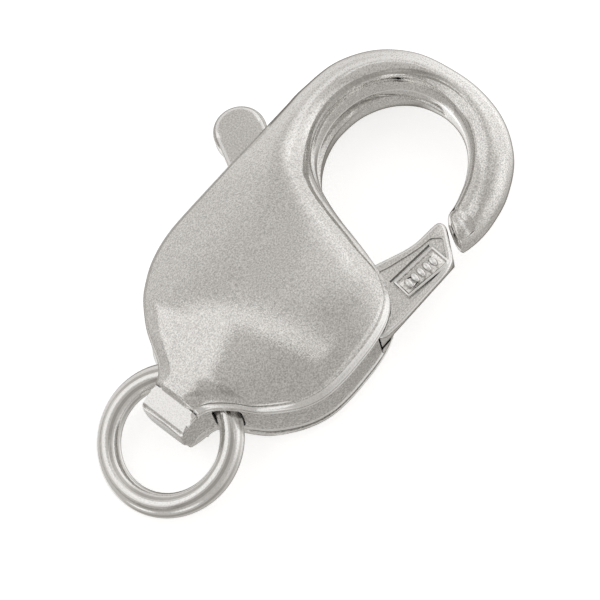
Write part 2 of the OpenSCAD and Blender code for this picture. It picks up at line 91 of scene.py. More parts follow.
# Belly: X and Y of the spine-side rim and of the gate-side rim, crown, flare
BELLY_ROWS = [
    (-0.882, 0.480, -0.882, -0.500, 0.55, 1.00), (-0.798, 0.602, -0.798, -0.655, 0.66, 0.60),
    (-0.643, 0.766, -0.643, -0.825, 0.80, 0.22), (-0.500, 0.862, -0.500, -0.925, 0.88, 0.06),
    (-0.350, 0.933, -0.350, -0.982, 0.94, 0.00), (-0.176, 0.980, -0.176, -1.004, 0.98, 0.00),
    (0.000, 1.000, 0.000, -1.006, 1.00, 0.00), (0.196, 1.000, 0.206, -0.996, 1.00, 0.00),
    (0.353, 0.997, 0.400, -0.957, 1.00, 0.00), (0.490, 0.994, 0.560, -0.870, 1.00, 0.00),
    (0.608, 0.991, 0.676, -0.716, 0.99, 0.00)]
# Turn from the belly to the eye: spine rim X and Y, gate rim X and Y, crown
TURN_ROWS = [
    (0.434, 0.989, 0.282, -0.510, 0.97), (0.483, 0.986, 0.495, -0.314, 0.94),
    (0.525, 0.984, 0.684, -0.127, 0.90)]
# Neck: spine rim X and Y, angle and distance of the eye-side rim from the eye's centre, crown, roundness
NECK_ROWS = [
    (0.563, 0.982, 167.3, 1.061, 0.85, 0.00), (0.605, 0.980, 150.5, 1.038, 0.79, 0.04),
    (0.672, 0.977, 135.5, 1.030, 0.72, 0.12), (0.762, 0.974, 121.0, 1.018, 0.66, 0.24),
    (0.873, 0.970, 106.0, 1.008, 0.61, 0.36)]
# Hook: angle outside and inside, inner radius, width, rim height, crown, roundness
HOOK_ROWS = [
    (90, 90, 1.000, 1.000, 1.00, 0.56, 0.48), (70, 70, 0.998, 1.005, 0.98, 0.52, 0.60),
    (50, 50, 0.988, 0.960, 0.95, 0.48, 0.75), (30, 30, 0.962, 0.880, 0.90, 0.45, 0.90),
    (10, 10, 0.915, 0.810, 0.84, 0.43, 1.00), (-10, -10, 0.874, 0.860, 0.77, 0.41, 1.00),
    (-30, -30, 0.846, 0.940, 0.69, 0.39, 1.00), (-50, -50, 0.834, 0.975, 0.61, 0.36, 1.00),
    (-70, -70, 0.846, 0.935, 0.53, 0.33, 1.00), (-86, -86, 0.876, 0.890, 0.47, 0.30, 1.00),
    (-98, -95, 0.910, 0.860, 0.43, 0.27, 1.00), (-109, -103, 0.940, 0.830, 0.41, 0.25, 1.00)]
# Gate's outline: share of the way from its tip to the pivot, and share of its width
GATE_ROWS = [
    (0.000, 0.02), (0.035, -0.02), (0.220, 0.17), (0.309, 0.19), (0.479, 0.15),
    (0.656, 0.10), (0.827, -0.04), (0.870, 1.52), (0.755, 1.97), (0.576, 1.81),
    (0.157, 1.29), (0.090, 1.13), (0.061, 0.97), (-0.017, 0.19)]
# Outline of the gate's sunk field, in the same shares
FIELD_ROWS = [
    (0.640, 0.33), (0.473, 0.38), (0.309, 0.36), (0.220, 0.34), (0.120, 0.27),
    (0.050, 0.42), (0.112, 1.00), (0.190, 1.18), (0.411, 1.44), (0.640, 1.70)]

# ------------------------------------------------------------------ fineness and fine relief
STEPS = 10  # rings between two rows
FRONT_N, BACK_N, OUTER_N = 88, 26, 14  # steps across a ring's front, back and spine-side wall
CORNER_N, ARC_N = 4, 8  # steps along a rounded corner of an outline and along the knob's rounded edge
OVAL_TURN, OVAL_POWER = 52.0, 0.9  # angle to which the front reaches round the hook, and its roundness
DOME_POWER, DOME_ROUND = 2.3, 0.9  # form of the crown across the body
SMOOTH_EDGE = 50  # sharper edges of the body and lever stay sharp, in degrees

# Places along the body are counted in rows of the tables, from the strap's end. Details of the gate-side
# wall fade in and out: start, length of the rise, end, length of the fall.
RIM_SPAN = (0.5, 1.0, 16.0, 1.5)
CREST_SPAN = (3.0, 1.5, 17.0, 1.5)
BACK_SPAN = (3.2, 2.0, 16.0, 1.5)
SEAM_SPAN = (5.5, 0.7, 15.0, 1.0)
# Beads and creases under the front rim: share of the wall's height, push outwards
RIM_PROFILE = [
    (1.00, 0.0), (0.985, 0.05), (0.93, 0.07), (0.86, 0.04), (0.835, -0.06), (0.80, -0.06), (0.77, 0.01),
    (0.72, 0.04), (0.66, 0.03), (0.62, -0.02), (0.57, 0.0)]
# Groove inside the hook: height over the groove's middle, share of its depth
HALF_GROOVE = GROOVE_H / 2
GROOVE_PROFILE = [
    (HALF_GROOVE + 0.08, 0.0), (HALF_GROOVE + 0.03, -0.03), (HALF_GROOVE - 0.01, 0.1),
    (HALF_GROOVE - 0.06, 1.0), (HALF_GROOVE * 0.5, 1.0), (0.0, 1.0)]
GROOVE_PROFILE += [(-height, share) for height, share in reversed(GROOVE_PROFILE[:-1])]
GROOVE_FROM = 18.0  # place along the body
GROOVE_SHIFT = Vector((-0.8, 0.64)) * GROOVE_DEPTH  # of its circle's centre from the eye's
GROOVE_R = EYE_R + 0.4 * GROOVE_DEPTH
GROOVE_FADE = (-0.2, 0.9)  # where it starts and in what length it deepens, along Y from the eye's centre
# Seam groove along the belly: height over the body's middle, share of its depth
SEAM_Z = -0.72 * HALF_EDGE
SEAM_PROFILE = [
    (SEAM_Z + SEAM_H + 0.20, 0.0), (SEAM_Z + SEAM_H + 0.12, -0.5), (SEAM_Z + SEAM_H + 0.04, -0.3),
    (SEAM_Z + SEAM_H, 1.7), (SEAM_Z, 1.7), (SEAM_Z - 0.03, -0.3), (SEAM_Z - 0.07, -0.5),
    (SEAM_Z - 0.12, -0.3)]
# Where the back part of the wall is lower than SEAM_MIN_WALL, the seam's points are spread round a share of
# its height instead
SEAM_MIN_WALL, SEAM_SHARE, SEAM_SPREAD = 1.15, -0.84, 0.4
# Bead over the back rim: share of the wall's height, share of the push
BACK_PROFILE, BACK_BEAD = [(-0.93, 0.0), (-0.95, 1.0), (-0.98, 1.0), (-1.00, 0.0)], 0.03
RIM_LIFT = BEVEL * 0.4  # start of the crown over the wall's top
CREST_LINE = (0.976, 0.009, 0.045)  # line beside the front rim: place across, width, depth
END_DIP = (0.75, 0.16, 0.07)  # dip before the hook's end: rows from the end, width in rows, depth
LIP = 0.03  # outwards, along the spine-side rims
SUNK_WALL = 2.6  # rise of the sunk rim's outer wall for each millimetre outwards
SUNK_CREASE = (0.03, 0.06, 0.05, 0.05)  # crease outside that wall: distance, width, depth, run of its start
# The sunk rim's reach: least height over the body's middle, and how far from its wall's foot it goes out
# beyond the wall and in below it
SUNK_LOW, SUNK_OUT, SUNK_IN = 0.3, 0.4, 0.2
FOLD_CREASE = (0.07, 0.15)  # crease at the strap's fold: width, depth
FOLD_X = -TAIL_LEN + 0.55 * BAR_LEN
FOLD_Z = MID_Z + 0.93 * HALF_EDGE
SUNK_TOP = MID_Z + HOOK_ROWS[0][4] * HALF_EDGE + HOOK_ROWS[0][5] * FRONT_RISE - SUNK_DROP


# ------------------------------------------------------------------ sections of the body
class Section(NamedTuple):
    """Section across the body: the outer rim is on the spine's side, the inner one towards gate and eye."""
    outer_x: float
    outer_y: float
    inner_x: float
    inner_y: float
    front: float
    back: float
    crown: float
    roundness: float
    flare: float

    @property
    def outer(self):
        return Vector((self.outer_x, self.outer_y))

    @property
    def inner(self):
        return Vector((self.inner_x, self.inner_y))


def from_eye(angle, r):
    a = math.radians(angle)
    return EYE + Vector((math.cos(a), math.sin(a))) * r


rows = []
for x, half, front, back, top, flare in TAIL_ROWS:
    rows.append(Section(x * TAIL_LEN, TAIL_Y + half * TAIL_W / 2, x * TAIL_LEN, TAIL_Y - half * TAIL_W / 2,
                        front * HALF_EDGE, back * HALF_EDGE, top, 0.0, flare * BACK_FLARE))
for ox, oy, ix, iy, top, flare in BELLY_ROWS:
    rows.append(Section(ox * BELLY_R, oy * BELLY_R, ix * BELLY_R, iy * BELLY_R,
                        HALF_EDGE, HALF_EDGE, top, 0.0, flare * BACK_FLARE))
belly_end = rows[-1].inner_x
for ox, oy, ix, iy, top in TURN_ROWS:
    ix = belly_end + ix * (EYE.x - EYE_R - belly_end)
    rows.append(Section(ox * EYE.x, oy * BELLY_R, ix, iy * BELLY_R, HALF_EDGE, HALF_EDGE, top, 0.0, 0.0))
for ox, oy, angle, r, top, roundness in NECK_ROWS:
    rows.append(Section(ox * EYE.x, oy * BELLY_R, *from_eye(angle, r * EYE_R),
                        HALF_EDGE, HALF_EDGE, top, roundness, 0.0))
for outside, inside, r, width, edge, top, roundness in HOOK_ROWS:
    rows.append(Section(*from_eye(outside, r * EYE_R + width * BAND_W), *from_eye(inside, r * EYE_R),
                        edge * HALF_EDGE, edge * HALF_EDGE, top, roundness, 0.0))
LAST = len(rows) - 1


def spline(a, b, c, d, t):
    """Catmull-Rom curve from b to c."""
    square, cube = 2 * a - 5 * b + 4 * c - d, 3 * b - a - 3 * c + d
    return 0.5 * (2 * b + (c - a) * t + square * t * t + cube * t ** 3)


def section(u):
    """Section at place u along the body, counted in rows."""
    i = min(int(u), LAST - 1)
    near = (rows[max(i - 1, 0)], rows[i], rows[i + 1], rows[min(i + 2, LAST)])
    return Section(*[spline(*values, u - i) for values in zip(*near)])


def dome(t):
    """Height of the crown across the body, as a share, for t from -1 to 1."""
    return max(0.0, 1 - abs(t) ** DOME_POWER) ** DOME_ROUND


def smooth(x):
    x = min(1.0, max(0.0, x))
    return x * x * (3 - 2 * x)


def fade(u, span):
    start, rise, end, fall = span
    return smooth((u - start) / rise) * smooth((end - u) / fall)


def bell(x, width):
    return math.exp(-(x / width) ** 2)


def mixed(s, x, h, angle):
    """(distance across, height over the middle), mixed with the round section's point at that angle."""
    width = math.hypot(s.inner_x - s.outer_x, s.inner_y - s.outer_y)
    up, side = math.cos(math.radians(angle)), math.sin(math.radians(angle))
    top = s.front + RIM_LIFT + FRONT_RISE * s.crown
    bottom = min(MID_Z, s.back + RIM_LIFT + BACK_RISE * s.crown)
    round_x = width / 2 * (1 + math.copysign(abs(side) ** OVAL_POWER, side))
    round_h = (top if up > 0 else bottom) * math.copysign(abs(up) ** OVAL_POWER, up)
    share = s.roundness
    return x * (1 - share) + round_x * share, h * (1 - share) + round_h * share


def gate_wall(s, span, a):
    """Point of the gate-side wall, at a from 90 at the front rim to -90 at the back rim."""
    f = math.sin(math.radians(a))
    x = SPINE_BULGE + span + GATE_BULGE * math.cos(math.radians(a)) + s.flare * max(0.0, -f)
    return mixed(s, x, ((s.front if f > 0 else s.back) - BEVEL) * f, 90 - a * (90 - OVAL_TURN) / 90)


def spine_wall(s, a):
    f = math.sin(math.radians(a))
    x = SPINE_BULGE * (1 - math.cos(math.radians(a))) - s.flare * max(0.0, -f)
    return mixed(s, x, ((s.front if f > 0 else s.back) - BEVEL) * f, 270 + a * (90 - OVAL_TURN) / 90)


def angle_for(s, span, h):
    """Angle down the gate-side wall at which it is at height h over the middle."""
    low, high = -90.0, 90.0
    for _ in range(16):
        a = (low + high) / 2
        if gate_wall(s, span, a)[1] < h:
            low = a
        else:
            high = a
    return (low + high) / 2


def arc_sine(f):
    return math.degrees(math.asin(max(-1.0, min(1.0, f))))


def groove_depth(s, x):
    """Depth of the hook's groove, from the wall at distance x across to the groove's own circle."""
    p = s.outer + (s.inner - s.outer).normalized() * x - EYE
    way = p.normalized()
    along = GROOVE_SHIFT.dot(way)
    reach = along + math.sqrt(max(0.0, GROOVE_R ** 2 - (GROOVE_SHIFT - way * along).length_squared))
    fade_from, fade_len = GROOVE_FADE
    return max(0.0, reach - p.length) * smooth((p.y - fade_from) / fade_len)


def gate_details(s, span, u):
    """(angle, push outwards) down the gate-side wall: rim beads, hook groove, seam and back bead."""
    low = s.back - BEVEL
    out = [(arc_sine(share), push * fade(u, RIM_SPAN)) for share, push in RIM_PROFILE]
    for height, share in GROOVE_PROFILE:
        a = angle_for(s, span, height + GROOVE_RISE)
        deep = groove_depth(s, gate_wall(s, span, a)[0]) if u > GROOVE_FROM and share else 0.0
        out.append((a, -deep * share))
    for height, share in SEAM_PROFILE:
        at = height / low if low > SEAM_MIN_WALL else SEAM_SHARE + (height - SEAM_Z) * SEAM_SPREAD
        out.append((arc_sine(at), -SEAM_DEPTH * share * fade(u, SEAM_SPAN)))
    out += [(arc_sine(at), share * BACK_BEAD * fade(u, BACK_SPAN)) for at, share in BACK_PROFILE]
    return out


def fold_cut(x, z):
    """Height after the strap's end is cut down to the slope of its fold, with a crease inside it."""
    width, depth = FOLD_CREASE
    if x > FOLD_X:
        return z - depth * bell(x - FOLD_X, width)
    return min(z, FOLD_Z - (FOLD_X - x) * math.tan(FOLD))


def sunk(x, y, z):
    """Height after the sunk rim round the eye is taken off, with a fine crease outside its wall."""
    r = math.hypot(x - EYE.x, y - EYE.y) - EYE_R - SUNK_W
    wall = (z - SUNK_TOP) / SUNK_WALL
    if z < MID_Z + SUNK_LOW or r > wall + SUNK_OUT or wall < -SUNK_IN:
        return z
    z = min(z, SUNK_TOP + r * math.tan(SUNK_SLOPE) if r < 0 else SUNK_TOP + r * SUNK_WALL)
    distance, width, depth, start = SUNK_CREASE
    return z - depth * smooth(wall / start) * bell(r - wall - distance, width)


def ring_points(u):
    """Closed ring round the body at place u: front, gate-side wall, back, spine-side wall."""
    s = section(u)
    across = (s.inner - s.outer).normalized()
    span = (s.inner - s.outer).length - SPINE_BULGE - GATE_BULGE
    middle, half = SPINE_BULGE + span / 2, (span - 2 * BEVEL) / 2
    line_at, line_width, line_depth = CREST_LINE
    dip_at, dip_width, dip_depth = END_DIP
    dip = dip_depth * bell(LAST - u - dip_at, dip_width)
    flat = []
    for k in range(FRONT_N + 1):
        t = -math.cos(math.pi * k / FRONT_N)
        x, h = mixed(s, middle + half * t, s.front + RIM_LIFT + FRONT_RISE * s.crown * dome(t),
                     OVAL_TURN * t)
        flat.append((x, h - (line_depth * fade(u, CREST_SPAN) * bell(t - line_at, line_width) + dip)))
    for a, push in gate_details(s, span, u):
        x, h = gate_wall(s, span, a)
        flat.append((x + push, h))
    for k in range(BACK_N + 1):
        t = math.cos(math.pi * k / BACK_N)
        flat.append(mixed(s, middle + (half + s.flare) * t,
                          -s.back - RIM_LIFT - BACK_RISE * s.crown * dome(t), 180 - OVAL_TURN * t))
    lip = LIP * smooth((u - 1.0) / 2.0) * (1 - s.roundness)
    for k in range(OUTER_N + 1):
        x, h = spine_wall(s, -90 + 180 * k / OUTER_N)
        flat.append((x - (lip if k in (1, OUTER_N - 1) else 0.0), h))
    out = []
    for x, h in flat:
        p = s.outer + across * x
        out.append(Vector((*p, sunk(*p, fold_cut(p.x, max(0.0, MID_Z + h))))))
    return out


def shrunk(ring, d, shift):
    """The ring drawn in by d towards its middle and moved."""
    mid = sum(ring, Vector()) / len(ring)
    return [p + (mid - p).normalized() * min(d, (mid - p).length * 0.5) + shift for p in ring]


# ------------------------------------------------------------------ meshes
def new_object(name, verts, faces):
    mesh = bpy.data.meshes.new(name)
    mesh.from_pydata([tuple(Vector(v) * MM) for v in verts], [], faces)
    mesh.validate()
    mesh.update()
    ob = bpy.data.objects.new(name, mesh)
    bpy.context.scene.collection.objects.link(ob)
    return ob


def new_solid(name, verts, faces):
    ob = new_object(name, verts, faces)
    bm = bmesh.new()
    bm.from_mesh(ob.data)
    bmesh.ops.recalc_face_normals(bm, faces=bm.faces)
    bm.to_mesh(ob.data)
    bm.free()
    return ob


def loft(name, rings):
    """Solid through rings of n points each. Face i * n + b lies between the points b and b + 1 of the rings i
    and i + 1, and the faces of the two ends come last."""
    n = len(rings[0])
    verts = [p for ring in rings for p in ring]
    faces = []
    for a in range(len(rings) - 1):
        for b in range(n):
            c = (b + 1) % n
            faces.append((a * n + b, (a + 1) * n + b, (a + 1) * n + c, a * n + c))
    for ring, base in ((rings[0], 0), (rings[-1], (len(rings) - 1) * n)):
        mid = len(verts)
        verts.append(sum(ring, Vector()) / n)
        for b in range(n):
            c = (b + 1) % n
            faces.append((base + c, base + b, mid) if base else (b, c, mid))
    return new_solid(name, verts, faces)


def prism(name, outline, low, high):
    n = len(outline)
    verts = [Vector((*p, z)) for z in (low, high) for p in outline]
    faces = [tuple(range(n)), tuple(range(2 * n - 1, n - 1, -1))]
    for k in range(n):
        j = (k + 1) % n
        faces.append((k, j, n + j, n + k))
    return new_solid(name, verts, faces)


def lathe(name, profile, at, steps=96):
    """Solid of revolution round a Z axis through at, from (radius, height) points."""
    verts, faces = [], []
    for k in range(steps):
        a = 2 * math.pi * k / steps
        for r, z in profile:
            verts.append(Vector((at[0] + r * math.cos(a), at[1] + r * math.sin(a), z)))
    n = len(profile)
    for k in range(steps):
        j = (k + 1) % steps
        for b in range(n - 1):
            faces.append((k * n + b, j * n + b, j * n + b + 1, k * n + b + 1))
    faces.append(tuple(k * n for k in range(steps - 1, -1, -1)))
    faces.append(tuple(k * n + n - 1 for k in range(steps)))
    return new_solid(name, verts, faces)


def combine(ob, other, how):
    """Cut the other solid from the object, or join it on. The other one is removed."""
    mod = ob.modifiers.new("cut", "BOOLEAN")
    mod.operation = how
    mod.object = other
    mod.solver = "MANIFOLD"
    deps = bpy.context.evaluated_depsgraph_get()
    deps.update()
    fresh = bpy.data.meshes.new_from_object(ob.evaluated_get(deps))
    old = ob.data
    ob.modifiers.clear()
    ob.data = fresh
    bpy.data.meshes.remove(old)
    bpy.data.objects.remove(other, do_unlink=True)


def smooth_by_angle(ob, degrees):
    bm = bmesh.new()
    bm.from_mesh(ob.data)
    bmesh.ops.remove_doubles(bm, verts=bm.verts, dist=1e-7)
    limit = math.radians(degrees)
    for f in bm.faces:
        f.smooth = True
    for e in bm.edges:
        e.smooth = len(e.link_faces) == 2 and e.calc_face_angle(0.0) < limit
    bm.to_mesh(ob.data)
    bm.free()


def rounded(outline, reach):
    """The outline with each corner turned into a short curve."""
    out = []
    n = len(outline)
    for k in range(n):
        p, v, q = outline[k - 1], outline[k], outline[(k + 1) % n]
        a = v + (p - v) * min(0.45, reach / (p - v).length)
        b = v + (q - v) * min(0.45, reach / (q - v).length)
        for m in range(CORNER_N + 1):
            t = m / CORNER_N
            out.append(a * (1 - t) ** 2 + v * 2 * t * (1 - t) + b * t * t)
    return out


def inset(outline, d):
    """The outline moved inwards by d (outwards where d is below 0)."""
    n = len(outline)
    area = sum(outline[k - 1][0] * outline[k][1] - outline[k][0] * outline[k - 1][1] for k in range(n))
    out = []
    for k in range(n):
        p, v, q = Vector(outline[k - 1]), Vector(outline[k]), Vector(outline[(k + 1) % n])
        a, b = (v - p).normalized(), (q - v).normalized()
        side_a, side_b = Vector((-a.y, a.x)), Vector((-b.y, b.x))
        mitre = (side_a + side_b) / max(0.5, 1 + side_a.dot(side_b))
        out.append(v + mitre * (d if area > 0 else -d))
    return out


def stacked(name, outline, steps):
    """Solid of the outline moved inwards by d at height z, for each (d, z) step."""
    return loft(name, [[Vector((*p, z)) for p in inset(outline, d)] for d, z in steps])


def rounded_plate(name, outline, low, high):
    """Plate with both its edges rounded to EDGE_R."""
    levels = []
    for degrees in (90, 60, 30, 0):
        t = math.radians(degrees)
        levels.append((EDGE_R * (1 - math.cos(t)), EDGE_R * (1 - math.sin(t))))
    steps = [(d, low + up) for d, up in levels] + [(d, high - up) for d, up in reversed(levels)]
    return stacked(name, outline, steps)


# ------------------------------------------------------------------ metals
SHEEN_WAY = math.radians(45)  # side of the hook where the painted highlight is brightest, seen from the eye's centre
SHEEN_R = (3.70, 4.15)  # distance from the eye's centre at which the painted highlight starts and is full
SHEEN_AHEAD = (-1.0, 3.0)  # the same along the brightest side
# Painted shade in creases and painted highlight on convex edges: reach of the ambient occlusion and the range
# that is mapped
CREASE_SHADE_REACH, CREASE_SHADE_RANGE = 0.22, (0.25, 0.85)
EDGE_HIGHLIGHT_REACH, EDGE_HIGHLIGHT_RANGE = 0.10, (0.35, 0.75)
NOISE_RANGE = (0.3, 0.7)
PATCH_SCALE, PATCH_CONTRAST = 220.0, 0.015  # faint large patches
BUMP_REACH = 0.02


def metal(name, color, rough, grain, grain_size, speck, crease=0.55, edge=0.25, painted_sheen=0.0, metallic=1.0):
    """Silver with fine grain, with painted shade in its creases and a painted highlight along its convex
    edges, both from ambient occlusion.
    """
    mat = bpy.data.materials.new(name)
    mat.use_nodes = True
    nt = mat.node_tree
    nt.nodes.clear()
    link = nt.links.new

    def node(kind, **sockets):
        n = nt.nodes.new(kind)
        for key, value in sockets.items():
            n.inputs[key.replace("_", " ")].default_value = value
        return n

    def math_node(how, a, b):
        n = nt.nodes.new("ShaderNodeMath")
        n.operation = how
        for socket, v in zip(n.inputs, (a, b)):
            if isinstance(v, float):
                socket.default_value = v
            else:
                link(v, socket)
        return n.outputs[0]

    def vector_node(how, a, b=None):
        n = nt.nodes.new("ShaderNodeVectorMath")
        n.operation = how
        link(a, n.inputs[0])
        if b:
            n.inputs[1].default_value = b
        return n

    def remap(value, span, low, high):
        n = node("ShaderNodeMapRange", From_Min=span[0], From_Max=span[1], To_Min=low, To_Max=high)
        link(value, n.inputs["Value"])
        return n.outputs["Result"]

    def occlusion(reach, inside):
        n = node("ShaderNodeAmbientOcclusion", Distance=reach * MM)
        n.samples = 8
        n.inside = inside
        return n.outputs["AO"]

    out = node("ShaderNodeOutputMaterial")
    shader = node("ShaderNodeBsdfPrincipled", Metallic=metallic)
    link(shader.outputs[0], out.inputs[0])
    place = node("ShaderNodeTexCoord").outputs["Object"]
    fine = node("ShaderNodeTexNoise", Scale=1.0 / (grain_size * MM), Detail=2.0, Roughness=0.6)
    patches = node("ShaderNodeTexNoise", Scale=PATCH_SCALE, Detail=3.0)
    for n in (fine, patches):
        link(place, n.inputs["Vector"])
    # Painted shade in the creases (crease) and painted highlight on the convex edges (edge)
    shade = math_node("MULTIPLY", remap(occlusion(CREASE_SHADE_REACH, False), CREASE_SHADE_RANGE, 1.0 - crease, 1.0),
                      remap(occlusion(EDGE_HIGHLIGHT_REACH, True), EDGE_HIGHLIGHT_RANGE, 1.0 + edge, 1.0))
    for noise, contrast in ((fine, speck), (patches, PATCH_CONTRAST)):
        shade = math_node("MULTIPLY", shade,
                          remap(noise.outputs["Fac"], NOISE_RANGE, 1.0 - contrast, 1.0 + contrast))
    if painted_sheen:
        # Painted highlight: the hook's outer band is made brighter by its place
        offset = vector_node("SUBTRACT", place, (EYE.x * MM, EYE.y * MM, 0)).outputs[0]
        flat = vector_node("MULTIPLY", offset, (1, 1, 0)).outputs[0]
        far = vector_node("LENGTH", flat).outputs["Value"]
        ahead = vector_node("DOT_PRODUCT", offset, (math.cos(SHEEN_WAY), math.sin(SHEEN_WAY), 0))
        band = math_node("MULTIPLY", remap(far, [v * MM for v in SHEEN_R], 0.0, painted_sheen),
                         remap(ahead.outputs["Value"], [v * MM for v in SHEEN_AHEAD], 0.0, 1.0))
        shade = math_node("MULTIPLY", shade, math_node("ADD", band, 1.0))
    tint = nt.nodes.new("ShaderNodeVectorMath")
    tint.operation = "SCALE"
    tint.inputs[0].default_value = color
    link(shade, tint.inputs["Scale"])
    link(tint.outputs[0], shader.inputs["Base Color"])
    link(remap(fine.outputs["Fac"], NOISE_RANGE, rough * 0.85, rough * 1.2), shader.inputs["Roughness"])
    bump = node("ShaderNodeBump", Strength=grain, Distance=BUMP_REACH * MM)
    link(fine.outputs["Fac"], bump.inputs["Height"])
    link(bump.outputs["Normal"], shader.inputs["Normal"])
    return mat


def set_metals(ob, metals):
    ob.data.materials.clear()
    for mat in metals:
        ob.data.materials.append(mat)


# Colour, roughness, depth and size of the grain, contrast of the grain
satin = metal("satin_silver", (0.775, 0.766, 0.752), 0.055, 0.12, 0.065, 0.32, painted_sheen=0.28)
# Painted shade: a darker copy of the silver for dark edges, creases, the sunk rim's wall and the strap's end
# face
shaded = metal("painted_shade_silver", (0.56, 0.55, 0.53), 0.25, 0.4, 0.07, 0.2, crease=0.2)
# Painted shade along the ring's drawn lines
wire_line_shade = metal("ring_line_painted_shade", (0.62, 0.61, 0.59), 0.12, 0.15, 0.07, 0.06)
# Painted light: a matt grey, not a metal, on the bail hole's walls so that the hole does not go dark
hole_painted_light = metal("bail_inside_painted_light", (0.62, 0.60, 0.58), 0.5, 0.4, 0.07, 0.2, crease=0.0, metallic=0.0)
bright = metal("polished_silver", (0.88, 0.87, 0.86), 0.08, 0.15, 0.07, 0.06)
gate_metal = metal("stamped_silver", (0.77, 0.76, 0.745), 0.15, 0.35, 0.07, 0.26)
# Burnished silver that also paints highlights: a brighter copy for rims, ridges, raised tops and upper edges
burnished_highlight = metal("burnished_highlight_silver", (0.96, 0.955, 0.95), 0.12, 0.2, 0.07, 0.12)
cast = metal("cast_silver", (0.72, 0.71, 0.695), 0.22, 0.9, 0.09, 0.40)
pin_metal = metal("drawn_wire", (0.6, 0.6, 0.6), 0.35, 0.3, 0.1, 0.03)

# ------------------------------------------------------------------ body
TAIL_ROUND = 0.14  # rounding of the strap's end
CAP_BACK, CAP_BULGE, CAP_ROUND = 0.12, 0.27, 0.62  # hook's end face: set back, bulge, rounding

rings = [ring_points(k / STEPS) for k in range(LAST * STEPS + 1)]
first, end = rings[0], rings[-1]
strap_end = []
for degrees in (75, 60, 45, 30, 15):
    a = math.radians(degrees)
    strap_end.append(shrunk(first, TAIL_ROUND * (1 - math.cos(a)),
                            Vector((TAIL_ROUND * (1 - math.sin(a)), 0, 0))))
way = (sum(end, Vector()) - sum(rings[-3], Vector())).normalized()
hook_cap = []
for degrees in (0, 15, 30, 45, 60, 75, 85):
    a = math.radians(degrees)
    hook_cap.append(shrunk(end, CAP_ROUND * (1 - math.cos(a)), way * (CAP_BULGE * math.sin(a) - CAP_BACK)))
body_rings = strap_end + [ring for ring in rings if ring[0].x > first[0].x + TAIL_ROUND * 1.05]
body_rings = body_rings[:-4] + hook_cap  # the last rings would stand in front of the cap's edge
body = loft("body_shell", body_rings)

# Metals by place along the body and by column of faces across it. Details are columns counted from the top
# of the gate-side wall: the front is below 0, the rim has 0 to 10, the groove 11 to 21, the seam 22 to 29.
BURNISHED_HIGHLIGHT, CAST, HOLE_PAINTED_LIGHT, SHADED = range(1, 5)  # the rest is satin, which is 0
set_metals(body, (satin, burnished_highlight, cast, hole_painted_light, shaded))
FIRST_DETAIL = FRONT_N + 1
# Painted highlight on the rim beads, seam lips, groove lip and nose ridge; painted shade in the rim's crease,
# along the spine-side edge, on the sunk rim's wall and on the nose
RIM_BEADS, RIM_CREASE = (-1, 0, 1, 2, 6, 7, 8), (3, 4, 5)
PLAIN_WALL = range(9, 22)
SEAM_LIPS = (22, 23, 27, 28, 29)
GROOVE_LIP = (10, 11, 12)
NOSE_RIDGE, NOSE_SHADE = range(-20, -11), range(-11, 4)
SPINE_EDGE = (4, 2)  # columns at a ring's start and at its end
# Places where the metals change. The strap's rounded end has 4 rings fewer than its rows ask for, so each
# change comes 0.4 rows further on.
BELLY_TO, WALL_TO, SPINE_TO, NOSE_FROM, NOSE_TO = 16, 18, 23, 29.5, LAST - 0.8


def on_sunk_wall(p):
    """Whether a face belongs to the wall that drops to the sunk rim."""
    at = p.center / MM
    outwards = Vector((at.x - EYE.x, at.y - EYE.y, 0))
    beyond = outwards.length - EYE_R - SUNK_W
    return at.z > SUNK_TOP and outwards.normalized().dot(p.normal) < -0.35 and -0.05 < beyond < 0.2


columns = len(body_rings[0])
for p in body.data.polygons:
    row, column = divmod(p.index, columns)
    detail = column - FIRST_DETAIL
    place = row / STEPS
    on_spine = column < SPINE_EDGE[0] or column >= columns - SPINE_EDGE[1]
    if row >= len(body_rings) - 1:
        continue
    if place > WALL_TO and not on_spine:
        # Painted shade on the sunk rim's wall and on the nose, painted highlight on the groove's lip and the
        # nose ridge
        if detail < 0 and on_sunk_wall(p):
            p.material_index = SHADED
        elif detail in GROOVE_LIP or (place > NOSE_FROM and detail in NOSE_RIDGE):
            p.material_index = BURNISHED_HIGHLIGHT
        elif NOSE_FROM < place < NOSE_TO and detail in NOSE_SHADE:
            p.material_index = SHADED
        continue
    # Painted shade: a dark line along the spine-side edge
    if place < SPINE_TO and on_spine:
        p.material_index = SHADED
    if place > BELLY_TO:
        continue
    # Painted highlight on the rim beads and seam lips, painted shade in the rim's crease
    if detail in RIM_BEADS + SEAM_LIPS:
        p.material_index = BURNISHED_HIGHLIGHT
    elif detail in RIM_CREASE:
        p.material_index = SHADED
    elif detail in PLAIN_WALL:
        p.material_index = CAST

# ------------------------------------------------------------------ slots, hollow and bail hole
end_section = section(LAST)
end_way = (end_section.outer - end_section.inner).normalized()
GATE_TIP = end_section.inner + end_way * TIP_DROP + Vector((end_way.y, -end_way.x)) * GATE_GAP
gate_way = PIVOT - GATE_TIP
gate_side = Vector((-gate_way.y, gate_way.x)).normalized()
arm_way = (KNOB - PIVOT).normalized()
arm_side = Vector((arm_way.y, -arm_way.x))
ARM_HALF = KNOB_R * 0.9


def gate_point(a, b):
    return GATE_TIP + gate_way * a + gate_side * b * GATE_W


def turned(p, angle):
    """The point turned round the pivot."""
    v = Vector(p) - PIVOT
    c, s = math.cos(angle), math.sin(angle)
    return PIVOT + Vector((v.x * c - v.y * s, v.x * s + v.y * c))


